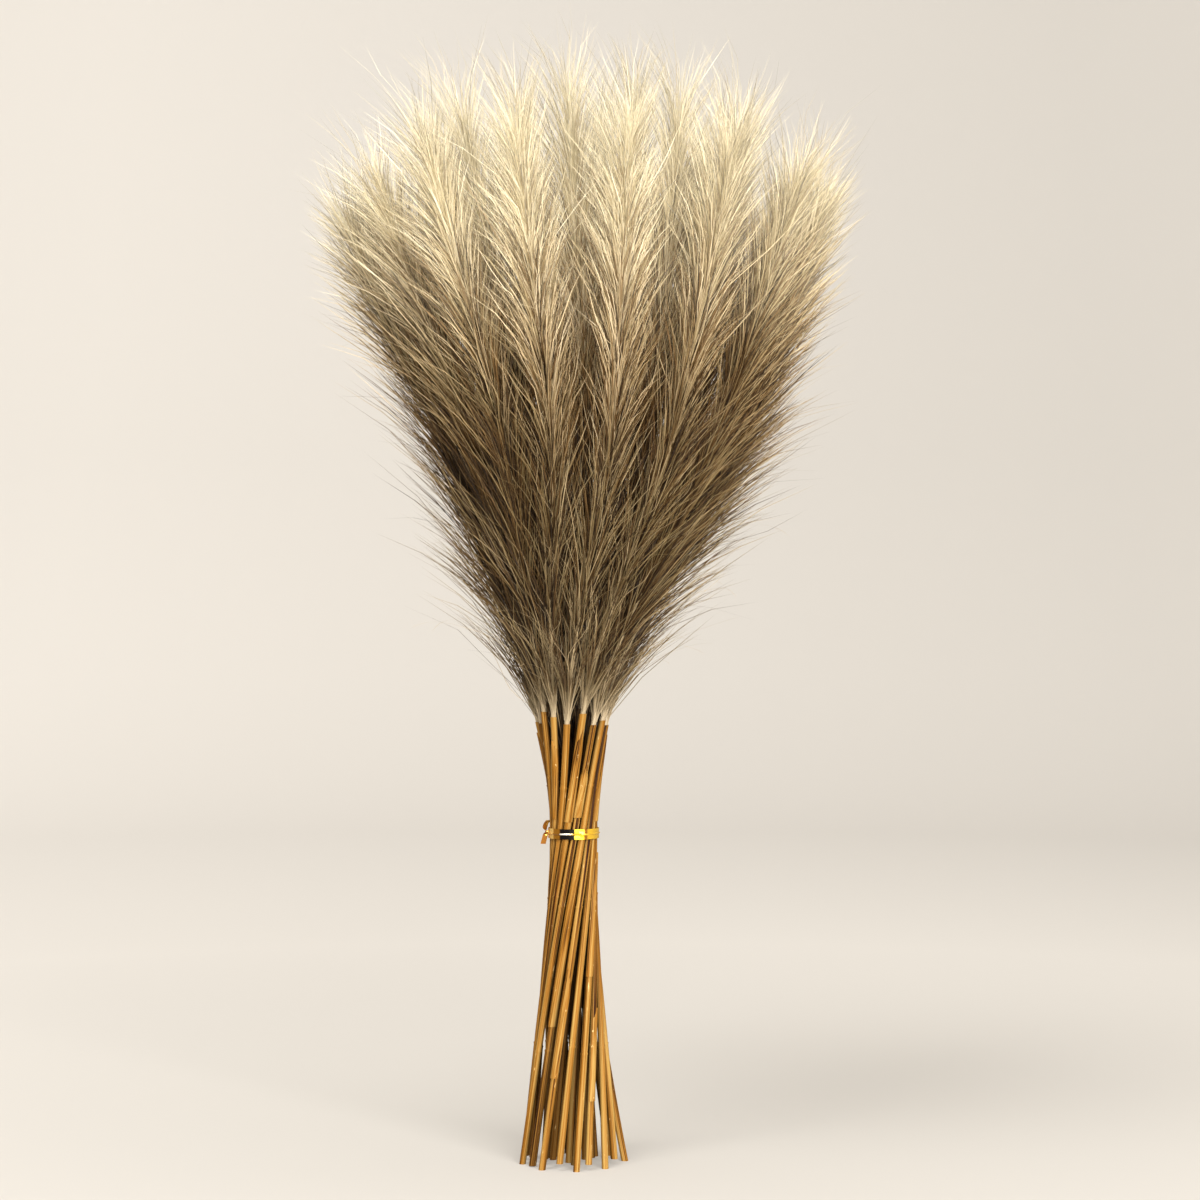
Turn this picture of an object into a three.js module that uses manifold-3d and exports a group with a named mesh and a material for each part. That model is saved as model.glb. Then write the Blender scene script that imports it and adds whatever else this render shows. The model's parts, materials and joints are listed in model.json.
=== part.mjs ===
// A bundle of pampas grass: dried reeds, each with one feathery plume, gathered into a sheaf by a
// gold foil twist tie. The reeds lean past each other at the tie, so the bundle spreads both ways
// and stands by itself on its square-cut ends.
//
// Millimetres, +Z up. The origin is on the ground, under the middle of the whole bundle.
import * as THREE from 'three';
import { mergeVertices } from 'three/addons/utils/BufferGeometryUtils.js';
import Module from 'manifold-3d';

// ---- Driving dimensions ----

const TOTAL_HEIGHT = 500;

// The reeds pass the tie in three rings, listed from the middle out
const RINGS = [
  { count: 3, radius: 1.98, turn: 0.35, around: 5, rows: 15 },
  { count: 10, radius: 5.55, turn: -2.6, around: 5, rows: 16 },
  { count: 16, radius: 9.1, turn: -2.705, around: 6, rows: 18 },
];
const OUTER_RING = 2;

const TIE_HEIGHT = 146;
const TIE_BAND = 4;
const TIE_INNER_RADIUS = 10.95;
const TIE_THICKNESS = 0.45;
const TIE_SEGMENTS = 24;
const WIRE_RADIUS = 0.75;
const WIRE_SIDES = 2;
const WIRE_STEPS = 6;

// How fast the sheaf opens and turns away from the tie
const OPENING_BELOW = 75;
const OPENING_ABOVE = 37.3;
const TURN_BELOW = 1.35;
const TURN_ABOVE = 0.637;

const STEM_RADIUS = 1.475;
const STEM_SIDES = 6;
const STEM_LEVELS = [45, 90, 125, TIE_HEIGHT, 165, 182];
const STEM_TOP = 203;
const STEM_TOP_SPREAD = 9;
const FOOT_SPREAD = 3.5;
const LEANING_STEM = 25;
const LEANING_STEM_KICK = 6;
const LEANING_STEM_BEND = 120;

// The head opens from where the plumes start
const HEAD_START = 198;
const HEAD_SLOPE = 0.18;
const HEAD_FLARE = 0.3;
const HEAD_FLARE_LENGTH = 24;
const HEAD_CLOSING = 0.00018;
const HEAD_HALF_WIDTH = 110;
const HEAD_PEAK = 8;
const HEAD_DROP_SIDEWAYS = 60;
const HEAD_DROP_DEPTHWAYS = 34;
const HEAD_LEAN = 11;
const HEAD_LEAN_HEIGHT = 320;
const HEAD_LEAN_END = 470;
const FOOT_LEAN = 2.2;

const WANDER = 1.4;
const WANDER_LIMIT = 0.22;

const JOINT_GAP = 0.3;
const CORE_RADIUS_FOOT = 1.3;
const CORE_RADIUS_MIDDLE = 2.3;
const CORE_RADIUS_TOP = 1.1;
const TUFT_LENGTH = 52;
const TUFT_LENGTH_TOP = 36;
const TUFT_LENGTH_SPREAD = 0.16;
const TUFT_ANGLE = 0.5;
const TUFT_ANGLE_TOP = 0.3;
const TUFT_ANGLE_SPREAD = 0.07;
const TUFT_CLEARANCE = 0.6;
const TUFT_CLOSING = 0.9;
const TUFT_SHORTENING = 0.965;
const TUFT_STEPS = 30;

const COLOURS = { stem: 0xb07a35, plume: 0xb39b74, tie: 0xd9a520 };

const UP = new THREE.Vector3(0, 0, 1);
const TAU = 2 * Math.PI;

// ---- How the reeds run ----

// A repeatable number from 0 to 1 for a reed and a purpose
function chance(reedIndex, purpose) {
  const wave = Math.sin(reedIndex * 12.9898 + purpose * 78.233) * 43758.5453;
  return wave - Math.floor(wave);
}

// Radius of the outer ring's axes at a height: narrowest at the tie, flaring into the head
function sheafRadius(z) {
  const waist = RINGS[OUTER_RING].radius;
  const opening = z < TIE_HEIGHT ? OPENING_BELOW : OPENING_ABOVE;
  const neck = waist * Math.hypot(1, (Math.min(z, HEAD_START) - TIE_HEIGHT) / opening);
  const h = Math.max(0, z - HEAD_START);
  const flare = h - HEAD_FLARE_LENGTH * (1 - Math.exp(-h / HEAD_FLARE_LENGTH));
  return neck + HEAD_SLOPE * h + HEAD_FLARE * flare - HEAD_CLOSING * h * h;
}

// How far the sheaf has turned at a height, counted from the tie
function sheafTurn(z) {
  const below = TURN_BELOW * Math.atan((z - TIE_HEIGHT) / OPENING_BELOW);
  const above = TURN_ABOVE * Math.atan((z - TIE_HEIGHT) / OPENING_ABOVE);
  return z < TIE_HEIGHT ? below : above;
}

// The middle of the sheaf stands a little to -X at the feet and leans to +X in the head
function sheafLean(z) {
  const foot = FOOT_LEAN * Math.max(0, 1 - z / TIE_HEIGHT);
  const rise = THREE.MathUtils.smoothstep(z, HEAD_START, HEAD_LEAN_HEIGHT);
  const fall = THREE.MathUtils.smoothstep(z, HEAD_LEAN_HEIGHT, HEAD_LEAN_END);
  return HEAD_LEAN * (rise - 0.5 * fall) - foot;
}

// How far a reed strays from its even place: nothing at the tie, more as the sheaf opens
function wander(reed, z) {
  const opened = sheafRadius(z) / RINGS[OUTER_RING].radius - 1;
  const reach = WANDER * opened / (1 + WANDER_LIMIT * opened);
  const end = z < TIE_HEIGHT ? 1 : 3;
  return new THREE.Vector2(
    reach * (2 * chance(reed.index, end) - 1),
    reach * (2 * chance(reed.index, end + 1) - 1),
  );
}

// One stem leans out further at its foot than the rest
function kick(reed, z) {
  if (reed.index !== LEANING_STEM || z > LEANING_STEM_BEND) {
    return 0;
  }
  return LEANING_STEM_KICK * (1 - z / LEANING_STEM_BEND) ** 2;
}

// The middle of a reed at a height
function reedPoint(reed, z) {
  const radius = reed.share * sheafRadius(z) + kick(reed, z);
  const angle = reed.angle + sheafTurn(z);
  const stray = wander(reed, z);
  return new THREE.Vector3(
    radius * Math.cos(angle) + stray.x + sheafLean(z),
    radius * Math.sin(angle) + stray.y,
    z,
  );
}

function reedDirection(reed, z) {
  return reedPoint(reed, z + 1).sub(reedPoint(reed, z - 1)).normalize();
}

// The top of the head is a low dome, flatter from front to back than from side to side
function tipHeight(reed) {
  const place = reedPoint(reed, TOTAL_HEIGHT - 2 * TUFT_LENGTH_TOP);
  const sideways = (place.x - HEAD_PEAK) / HEAD_HALF_WIDTH;
  const depthways = place.y / HEAD_HALF_WIDTH;
  return TOTAL_HEIGHT - HEAD_DROP_SIDEWAYS * sideways ** 2 - HEAD_DROP_DEPTHWAYS * depthways ** 2;
}

function makeReeds() {
  const reeds = [];
  RINGS.forEach((ring, ringNumber) => {
    for (let k = 0; k < ring.count; k += 1) {
      const reed = {
        index: reeds.length + 1,
        share: ring.radius / RINGS[OUTER_RING].radius,
        angle: ring.turn + TAU * k / ring.count,
        around: ring.around,
        rows: ring.rows,
      };
      const onGround = ringNumber !== OUTER_RING ? k === 0 : k % 2 === 1;
      reed.foot = onGround ? 0 : FOOT_SPREAD * (0.1 + 0.9 * chance(reed.index, 5));
      reed.stemTop = STEM_TOP - STEM_TOP_SPREAD * chance(reed.index, 6);
      reeds.push(reed);
    }
  });
  reeds.forEach((reed) => {
    const lean = reedDirection(reed, TOTAL_HEIGHT - 2 * TUFT_LENGTH_TOP).z;
    reed.tip = tipHeight(reed);
    reed.plumeEnd = reed.tip - TUFT_LENGTH_TOP * lean;
  });
  return reeds;
}

const reeds = makeReeds();

// ---- Stems ----

// A many-sided cane, its level rings moved one by one onto the reed's line
function stemGeometry(reed) {
  const levels = [reed.foot, ...STEM_LEVELS, reed.stemTop];
  const steps = levels.length - 1;
  const cane = new THREE.CylinderGeometry(STEM_RADIUS, STEM_RADIUS, steps, STEM_SIDES, steps);
  cane.rotateX(Math.PI / 2);
  const place = cane.attributes.position;
  for (let i = 0; i < place.count; i += 1) {
    const level = Math.round(place.getZ(i) + steps / 2);
    const middle = reedPoint(reed, levels[level]);
    place.setXYZ(i, middle.x + place.getX(i), middle.y + place.getY(i), middle.z);
  }
  return cane;
}

// ---- Plumes ----

// The stalk in the plume is thickest in its lower middle and slim at both ends
function coreRadius(along) {
  const swell = Math.sin(Math.PI * Math.min(1, along * 1.6) / 2);
  const foot = THREE.MathUtils.lerp(CORE_RADIUS_FOOT, CORE_RADIUS_MIDDLE, swell);
  return THREE.MathUtils.lerp(foot, CORE_RADIUS_TOP, along * along);
}

// Whether a point keeps clear of every other reed's share of the head
function staysClear(reed, point, clearance) {
  const own = reedPoint(reed, point.z).distanceTo(point);
  return reeds.every((other) => {
    const gap = other === reed ? Infinity : reedPoint(other, point.z).distanceTo(point);
    return gap - own > clearance;
  });
}

// The tip of a tuft that leaves its root at an angle, drawn in until it is clear of other plumes
function tuftTip(reed, root, outward, angle, length) {
  const forward = reedDirection(reed, root.z);
  const side = outward.clone().addScaledVector(forward, -outward.dot(forward)).normalize();
  let lift = angle;
  let reach = length;
  for (let step = 0; step < TUFT_STEPS; step += 1) {
    const run = forward.clone().multiplyScalar(reach * Math.cos(lift));
    run.addScaledVector(side, reach * Math.sin(lift));
    const clear = [0.4, 0.7, 1].every((t) => {
      const point = root.clone().addScaledVector(run, t);
      return staysClear(reed, point, TUFT_CLEARANCE + 1.6 * (1 - t));
    });
    if (clear) {
      return root.clone().add(run);
    }
    lift *= TUFT_CLOSING;
    reach *= TUFT_SHORTENING;
  }
  return root.clone().addScaledVector(forward, reach);
}

// A slim stalk whose whole surface is tiled with diamonds, each drawn out to a pointed tuft of hair.
// Every ring of the stalk is turned by half a step against the one below it.
function plumeGeometry(reed) {
  const { around, rows } = reed;
  const start = reed.stemTop + JOINT_GAP;
  const points = [];
  const faces = [];
  const corner = (row, k) => row * around + ((k % around) + around) % around;
  for (let row = 0; row <= rows; row += 1) {
    const along = row / rows;
    const middle = reedPoint(reed, THREE.MathUtils.lerp(start, reed.plumeEnd, along));
    for (let k = 0; k < around; k += 1) {
      const angle = reed.index + TAU * (k + row / 2) / around;
      const outward = new THREE.Vector3(Math.cos(angle), Math.sin(angle), 0);
      points.push(outward.multiplyScalar(coreRadius(along)).add(middle));
    }
  }
  for (let row = 0; row <= rows - 2; row += 1) {
    const along = (row + 1) / rows;
    for (let k = 0; k < around; k += 1) {
      const ring = [corner(row, k), corner(row + 1, k), corner(row + 2, k - 1), corner(row + 1, k - 1)];
      const angle = reed.index + TAU * (k + row / 2) / around;
      const outward = new THREE.Vector3(Math.cos(angle), Math.sin(angle), 0);
      const root = points[ring[0]].clone().add(points[ring[2]]).multiplyScalar(0.5);
      const luck = chance(reed.index, 10 + row * around + k) - 0.5;
      const lift = THREE.MathUtils.lerp(TUFT_ANGLE, TUFT_ANGLE_TOP, along ** 3) + luck * TUFT_ANGLE_SPREAD;
      const full = THREE.MathUtils.lerp(TUFT_LENGTH, TUFT_LENGTH_TOP, along ** 3);
      const tip = points.push(tuftTip(reed, root, outward, lift, full * (1 + luck * TUFT_LENGTH_SPREAD)));
      ring.forEach((from, side) => faces.push(from, ring[(side + 1) % 4], tip - 1));
    }
  }
  closePlumeEnds(reed, corner, points, faces);
  const plume = new THREE.BufferGeometry().setFromPoints(points);
  plume.setIndex(faces);
  return plume;
}

// The foot is a flat cut and the far end runs out in one last tuft
function closePlumeEnds(reed, corner, points, faces) {
  const { around, rows } = reed;
  const end = reedPoint(reed, reed.plumeEnd);
  const last = points.push(end.addScaledVector(reedDirection(reed, reed.plumeEnd), TUFT_LENGTH_TOP)) - 1;
  for (let k = 0; k < around; k += 1) {
    faces.push(corner(0, k), corner(0, k + 1), corner(1, k));
    faces.push(corner(rows - 1, k), corner(rows, k), corner(rows, k - 1));
    faces.push(corner(rows, k), corner(rows, k + 1), last);
  }
  for (let k = 1; k < around - 1; k += 1) {
    faces.push(corner(0, 0), corner(0, k + 1), corner(0, k));
  }
}

// ---- Tie ----

const wasm = await Module();
wasm.setup();

function toSolid(geometry) {
  const bare = geometry.clone();
  bare.deleteAttribute('normal');
  bare.deleteAttribute('uv');
  const welded = mergeVertices(bare, 1e-4);
  return new wasm.Manifold(new wasm.Mesh({
    numProp: 3,
    vertProperties: new Float32Array(welded.attributes.position.array),
    triVerts: new Uint32Array(welded.index.array),
  }));
}

function toGeometry(solid) {
  const mesh = solid.getMesh();
  const geometry = new THREE.BufferGeometry();
  geometry.setAttribute('position', new THREE.BufferAttribute(mesh.vertProperties, 3));
  geometry.setIndex(new THREE.BufferAttribute(mesh.triVerts, 1));
  return geometry;
}

// The flat foil ribbon, closed round the stems
function bandGeometry() {
  const outer = TIE_INNER_RADIUS + TIE_THICKNESS;
  const section = [
    new THREE.Vector2(TIE_INNER_RADIUS, -TIE_BAND / 2),
    new THREE.Vector2(outer, -TIE_BAND / 2),
    new THREE.Vector2(outer, TIE_BAND / 2),
    new THREE.Vector2(TIE_INNER_RADIUS, TIE_BAND / 2),
    new THREE.Vector2(TIE_INNER_RADIUS, -TIE_BAND / 2),
  ];
  const band = new THREE.LatheGeometry(section, TIE_SEGMENTS);
  band.rotateX(Math.PI / 2);
  band.translate(0, 0, TIE_HEIGHT);
  return band;
}

// One free end of the tie, along a few points given as reach out from the band, sideways and up
function tailGeometry(route) {
  const out = new THREE.Vector3(-0.97, -0.243, 0);
  const side = new THREE.Vector3().crossVectors(UP, out);
  const points = route.map(([reach, sideways, up]) => {
    const point = out.clone().multiplyScalar(TIE_INNER_RADIUS + reach);
    return point.addScaledVector(side, sideways).addScaledVector(UP, TIE_HEIGHT + up);
  });
  const circle = new THREE.Shape().absarc(0, 0, WIRE_RADIUS, 0, TAU);
  return new THREE.ExtrudeGeometry(circle, {
    extrudePath: new THREE.CatmullRomCurve3(points),
    steps: WIRE_STEPS,
    curveSegments: WIRE_SIDES,
  });
}

function tieGeometry() {
  const upperEnd = tailGeometry([[0.25, -0.2, 0], [1.5, 0.1, 0.9], [2.1, 0.3, 3], [1.2, 0.2, 5.6]]);
  const lowerEnd = tailGeometry([[0.25, 0.2, 0], [1.8, 0, -0.9], [3.2, -0.3, -2.6], [2.6, -0.2, -5]]);
  return toGeometry(toSolid(bandGeometry()).add(toSolid(upperEnd)).add(toSolid(lowerEnd)));
}

// ---- The bundle ----

const materials = {
  stem: { color: COLOURS.stem, roughness: 0.55, metalness: 0 },
  plume: { color: COLOURS.plume, roughness: 0.85, metalness: 0 },
  tie: { color: COLOURS.tie, roughness: 0.25, metalness: 0.9 },
};

function addPiece(group, name, geometry, kind) {
  const mesh = new THREE.Mesh(geometry, new THREE.MeshStandardMaterial(materials[kind]));
  mesh.name = name;
  group.add(mesh);
}

function makeBundle() {
  const bundle = new THREE.Group();
  bundle.name = 'pampas_grass_bundle';
  reeds.forEach((reed) => {
    const number = String(reed.index).padStart(2, '0');
    addPiece(bundle, `stem_${number}`, stemGeometry(reed), 'stem');
    addPiece(bundle, `plume_${number}`, plumeGeometry(reed), 'plume');
  });
  addPiece(bundle, 'tie', tieGeometry(), 'tie');
  const box = new THREE.Box3().setFromObject(bundle);
  const middle = box.getCenter(new THREE.Vector3());
  bundle.position.set(-middle.x, -middle.y, -box.min.z);
  return bundle;
}

export default makeBundle();
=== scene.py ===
# A bundle of pampas grass: dried reeds with feathery heads, held by a twist tie of gold foil and
# standing on their cut ends. Lengths in the making are millimetres, turned to metres in the mesh.
import json
import math

import bpy
import numpy as np
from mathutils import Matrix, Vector


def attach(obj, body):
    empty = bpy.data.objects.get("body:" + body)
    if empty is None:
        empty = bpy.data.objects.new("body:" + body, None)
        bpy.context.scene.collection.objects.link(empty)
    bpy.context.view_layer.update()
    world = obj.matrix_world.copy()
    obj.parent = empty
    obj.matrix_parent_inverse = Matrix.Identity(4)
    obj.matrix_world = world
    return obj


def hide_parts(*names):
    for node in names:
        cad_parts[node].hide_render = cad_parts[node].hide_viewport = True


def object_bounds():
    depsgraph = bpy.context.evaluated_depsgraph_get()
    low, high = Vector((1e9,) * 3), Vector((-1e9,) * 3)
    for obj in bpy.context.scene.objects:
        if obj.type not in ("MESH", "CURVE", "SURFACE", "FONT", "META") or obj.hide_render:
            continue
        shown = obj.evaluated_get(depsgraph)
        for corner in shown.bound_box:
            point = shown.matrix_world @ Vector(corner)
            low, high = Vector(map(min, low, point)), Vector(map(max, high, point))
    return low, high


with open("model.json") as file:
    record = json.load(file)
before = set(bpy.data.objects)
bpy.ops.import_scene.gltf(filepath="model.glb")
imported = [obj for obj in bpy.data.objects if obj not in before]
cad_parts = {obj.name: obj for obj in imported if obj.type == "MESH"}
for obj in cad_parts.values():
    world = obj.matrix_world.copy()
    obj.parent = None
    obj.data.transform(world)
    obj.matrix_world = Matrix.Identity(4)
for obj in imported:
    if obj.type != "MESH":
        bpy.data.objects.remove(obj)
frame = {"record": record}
cad_box = [list(corner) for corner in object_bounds()]

# ---- Camera ----
# It looks level at the middle of the bundle, from as far as shows the whole of it with a margin.

CAMERA_PLACE = (0.0056, -1.252, 0.250)
CAMERA_LENS = 84.4

camera_data = bpy.data.cameras.new("camera")
camera_data.lens = CAMERA_LENS
camera_data.sensor_width = 36
camera = bpy.data.objects.new("camera", camera_data)
camera.location = CAMERA_PLACE
camera.rotation_euler = (math.radians(90), 0, 0)
bpy.context.scene.collection.objects.link(camera)
bpy.context.scene.camera = camera

# ---- Reed canes ----
# Slim dried canes, straight and golden, with a few low joints and a fibre that runs along them.
# They are cut square at the foot and pass the tie in three rings, each leaning past its neighbours.

MM = 0.001
TAU = 2 * math.pi
RINGS = ((3, 1.98, 0.35), (10, 5.55, -2.6), (16, 9.1, -2.705))  # how many, radius at the tie, turn
WAIST = RINGS[-1][1]
TIE_HEIGHT = 146
OPENING_BELOW = 75
OPENING_ABOVE = 37.3
TURN_BELOW = 1.35
TURN_ABOVE = 0.637
TOTAL_HEIGHT = 500
HEAD_START = 198
HEAD_SLOPE = 0.18
HEAD_FLARE = 0.3
HEAD_FLARE_LENGTH = 24
HEAD_CLOSING = 0.00018
HEAD_HALF_WIDTH = 110
HEAD_PEAK = 8
HEAD_DROP_SIDEWAYS = 60
HEAD_DROP_DEPTHWAYS = 34
HEAD_LEAN = 11
HEAD_LEAN_HEIGHT = 320
HEAD_LEAN_END = 470
HEAD_LEAN_BACK = 0.5
FOOT_LEAN = 2.2
WANDER = 1.4
WANDER_LIMIT = 0.22
STEM_TOP = 203
STEM_TOP_SPREAD = 9
FOOT_SPREAD = 3.5
FOOT_SPREAD_LEAST = 0.1
LEANING_STEM = 25
LEANING_STEM_KICK = 6
LEANING_STEM_BEND = 120
TUFT_LENGTH_TOP = 36
# The purposes of a reed's repeatable chances
FOOT_STRAYS = (1, 2)
HEAD_STRAYS = (3, 4)
FOOT_RISE = 5
TOP_DROP = 6

CANE_RADIUS = 1.475
CANE_SIDES = 14
CANE_LENGTH = 200
CANE_RINGS = 36
CANE_JOINTS = (52, 118, 171)
JOINT_RINGS = (-0.9, 0, 0.5)
JOINT_SWELL = 1.13
JOINT_WAIST = 0.95
CUT_RIM = 0.16
CUT_WALL = 0.5
CUT_HOLLOW = 0.22
CANE_SWELL = (0.98, 1.12)
CANE_WAVE = 0.02
CANE_WAVES = 9
CANE_SEED = 100
FIBRE_SHIFT = 9
FIBRE_DETAIL = 3
STREAKS, PATCHES, SCUFFS = (5.5, 7), (0.8, 3), (1.4, 60)  # how fine round the cane and along it
SCUFFED_FROM = (0.69, 0.76)
CANE_SKIN_DARK = (38, 14, 1)
CANE_SKIN = (137, 89, 24)
CANE_SKIN_PALE = (166, 132, 71)
CANE_SKIN_STOPS = ((0.4, CANE_SKIN_DARK), (0.48, CANE_SKIN), (0.6, CANE_SKIN_PALE))
CANE_SCUFF = (224, 190, 130)
CANE_CUT = (130, 90, 42)
CANE_CUT_STOPS = ((0.4, CANE_SKIN_DARK), (0.62, CANE_CUT))
CANE_CUT_SPECKS = 2500
# Painted shade between the canes: how deep in the sheaf it starts and is full, how dark it gets, and how
# far it eases near the foot.
CANE_SHADE_DEPTHS = (0.3, 2.2)
CANE_DEEPEST_SHADE = 0.12
CANE_OPEN_BELOW = (0, 100)
CANE_OPEN_SHARE = 0.5
CANE_SHARP = 50
BUMP_DISTANCE = 0.0002
SOCKETS = {"roughness": "Roughness", "specular": "Specular IOR Level", "metallic": "Metallic"}
LEAF_RADIUS = 1.95
LEAF_THICKNESS = 0.12
LEAF_SIDES = 12
LEAF_OPEN_FROM = -0.4
LEAF_RINGS = (0.15, 0.3, 0.45, 0.6, 0.75, 0.87, 0.95)
LEAF_POINT = ((0.87, 0.85), (0.95, 0.55), (1, 0.12))  # height and how much is left of the width
LEAF_FIBRE = 0.3
LEAVES = (  # which reed, lower end, upper end, turn from straight outwards
    (14, 153, 188, -15),
    (16, 152, 193, 25),
    (17, 154, 176, -30),
    (20, 152, 190, 10),
    (24, 153, 184, -20),
    (27, 152, 191, 15),
    (18, 62, 133, 20),
    (19, 40, 88, -25),
    (21, 84, 138, 10),
    (22, 30, 70, 30),
    (25, 55, 120, -10),
    (28, 80, 136, 25),
)


def srgb(red, green, blue):
    """A colour from screen values of 0 to 255."""
    parts = [value / 255 for value in (red, green, blue)]
    return tuple(((c + 0.055) / 1.055) ** 2.4 if c > 0.04045 else c / 12.92 for c in parts) + (1,)


def chance(number, purpose):
    """A repeatable number from 0 to 1 for a reed and a purpose."""
    return (math.sin(number * 12.9898 + purpose * 78.233) * 43758.5453) % 1


def smoothstep(x, low, high):
    t = np.clip((x - low) / (high - low), 0, 1)
    return t * t * (3 - 2 * t)


def sheaf_radius(z):
    """Radius of the outer ring of reeds: narrowest at the tie, flaring into the head."""
    opening = np.where(z < TIE_HEIGHT, OPENING_BELOW, OPENING_ABOVE)
    neck = WAIST * np.hypot(1, (np.minimum(z, HEAD_START) - TIE_HEIGHT) / opening)
    h = np.maximum(0, z - HEAD_START)
    flare = h - HEAD_FLARE_LENGTH * (1 - np.exp(-h / HEAD_FLARE_LENGTH))
    return neck + HEAD_SLOPE * h + HEAD_FLARE * flare - HEAD_CLOSING * h * h


def sheaf_turn(z):
    below = TURN_BELOW * np.arctan((z - TIE_HEIGHT) / OPENING_BELOW)
    above = TURN_ABOVE * np.arctan((z - TIE_HEIGHT) / OPENING_ABOVE)
    return np.where(z < TIE_HEIGHT, below, above)


def sheaf_lean(z):
    foot = FOOT_LEAN * np.maximum(0, 1 - z / TIE_HEIGHT)
    rise = smoothstep(z, HEAD_START, HEAD_LEAN_HEIGHT)
    fall = smoothstep(z, HEAD_LEAN_HEIGHT, HEAD_LEAN_END)
    return HEAD_LEAN * (rise - HEAD_LEAN_BACK * fall) - foot


class Reed:
    """One reed of the sheaf: where it passes the tie, and where it starts, flowers and ends."""

    def __init__(self, index, ring, radius, angle, on_ground):
        self.index = index
        self.ring = ring
        self.share = radius / WAIST
        self.angle = angle
        raised = FOOT_SPREAD_LEAST + (1 - FOOT_SPREAD_LEAST) * chance(index, FOOT_RISE)
        self.foot = 0 if on_ground else FOOT_SPREAD * raised
        self.top = STEM_TOP - STEM_TOP_SPREAD * chance(index, TOP_DROP)
        level = np.array([TOTAL_HEIGHT - 2 * TUFT_LENGTH_TOP], float)
        x, y, _ = self.points(level)[0]
        sideways = (x - HEAD_PEAK) / HEAD_HALF_WIDTH
        depthways = y / HEAD_HALF_WIDTH
        drop = HEAD_DROP_SIDEWAYS * sideways**2 + HEAD_DROP_DEPTHWAYS * depthways**2
        self.tip = TOTAL_HEIGHT - drop
        self.end = self.tip - TUFT_LENGTH_TOP * self.directions(level)[0][2]

    def points(self, z):
        """The middle of the reed at each height, before the bundle is centred on its ground."""
        opened = sheaf_radius(z) / WAIST - 1
        reach = WANDER * opened / (1 + WANDER_LIMIT * opened)
        foot_stray = [chance(self.index, purpose) for purpose in FOOT_STRAYS]
        head_stray = [chance(self.index, purpose) for purpose in HEAD_STRAYS]
        stray = 2 * np.where((z < TIE_HEIGHT)[..., None], foot_stray, head_stray) - 1
        radius = self.share * sheaf_radius(z)
        if self.index == LEANING_STEM:
            radius = radius + LEANING_STEM_KICK * np.maximum(0, 1 - z / LEANING_STEM_BEND) ** 2
        angle = self.angle + sheaf_turn(z)
        x = radius * np.cos(angle) + reach * stray[..., 0] + sheaf_lean(z)
        y = radius * np.sin(angle) + reach * stray[..., 1]
        return np.stack([x, y, z], axis=-1)

    def directions(self, z):
        step = self.points(z + 1) - self.points(z - 1)
        return step / np.linalg.norm(step, axis=-1, keepdims=True)


def gather_reeds():
    reeds = []
    for ring, (count, radius, turn) in enumerate(RINGS):
        for k in range(count):
            outer = ring == len(RINGS) - 1
            on_ground = k % 2 == 1 if outer else k == 0
            reeds.append(Reed(len(reeds) + 1, ring, radius, turn + TAU * k / count, on_ground))
    return reeds


reeds = gather_reeds()
cut_ends = frame["record"]["mounts"][0]["pos_m"]
GROUND_CENTRE = np.array(cut_ends) / MM - reeds[0].points(np.array([0.0]))[0]


def start_shape():
    """Leaves nothing selected, so that the next primitive is shaped alone."""
    if bpy.context.object and bpy.context.object.mode != "OBJECT":
        bpy.ops.object.mode_set(mode="OBJECT")
    bpy.ops.object.select_all(action="DESELECT")


def select_vertices(obj, test):
    """In edit mode, selects the vertices whose place passes a test, and nothing else."""
    bpy.ops.mesh.select_all(action="DESELECT")
    bpy.ops.object.mode_set(mode="OBJECT")
    for vertex in obj.data.vertices:
        vertex.select = test(vertex.co)
    bpy.ops.object.mode_set(mode="EDIT")


def cut_rings(heights):
    """In edit mode, cuts a level ring through the whole shape at each height."""
    for height in heights:
        bpy.ops.mesh.select_all(action="SELECT")
        bpy.ops.mesh.bisect(plane_co=(0, 0, height), plane_no=(0, 0, 1))


def take_shape(obj):
    """The vertices, faces and face-corner map places of a modelled shape, which is then cleared."""
    mesh = obj.data
    places = np.array([vertex.co for vertex in mesh.vertices])
    faces = [tuple(face.vertices) for face in mesh.polygons]
    corners = np.array([loop.uv for loop in mesh.uv_layers.active.data])
    normals = np.array([face.normal for face in mesh.polygons])
    bpy.data.objects.remove(obj)
    return places, faces, corners, normals


def thicken(obj, thickness, side):
    """Gives a sheet its wall, outwards with side 1 and inwards with side -1."""
    bpy.ops.object.modifier_add(type="SOLIDIFY")
    obj.modifiers[-1].thickness = thickness
    obj.modifiers[-1].offset = side
    bpy.ops.object.modifier_apply(modifier=obj.modifiers[-1].name)


def new_piece(name, places, faces, map_name, corners, materials):
    """A mesh object from places in millimetres, with a map of its own and its materials."""
    mesh = bpy.data.meshes.new(name)
    mesh.from_pydata(((places + GROUND_CENTRE) * MM).tolist(), [], faces)
    layer = mesh.uv_layers.new(name=map_name)
    layer.data.foreach_set("uv", np.asarray(corners, dtype=np.float32).ravel())
    for material in materials:
        mesh.materials.append(material)
    mesh.update()
    piece = bpy.data.objects.new(name, mesh)
    bpy.context.scene.collection.objects.link(piece)
    return piece


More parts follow.
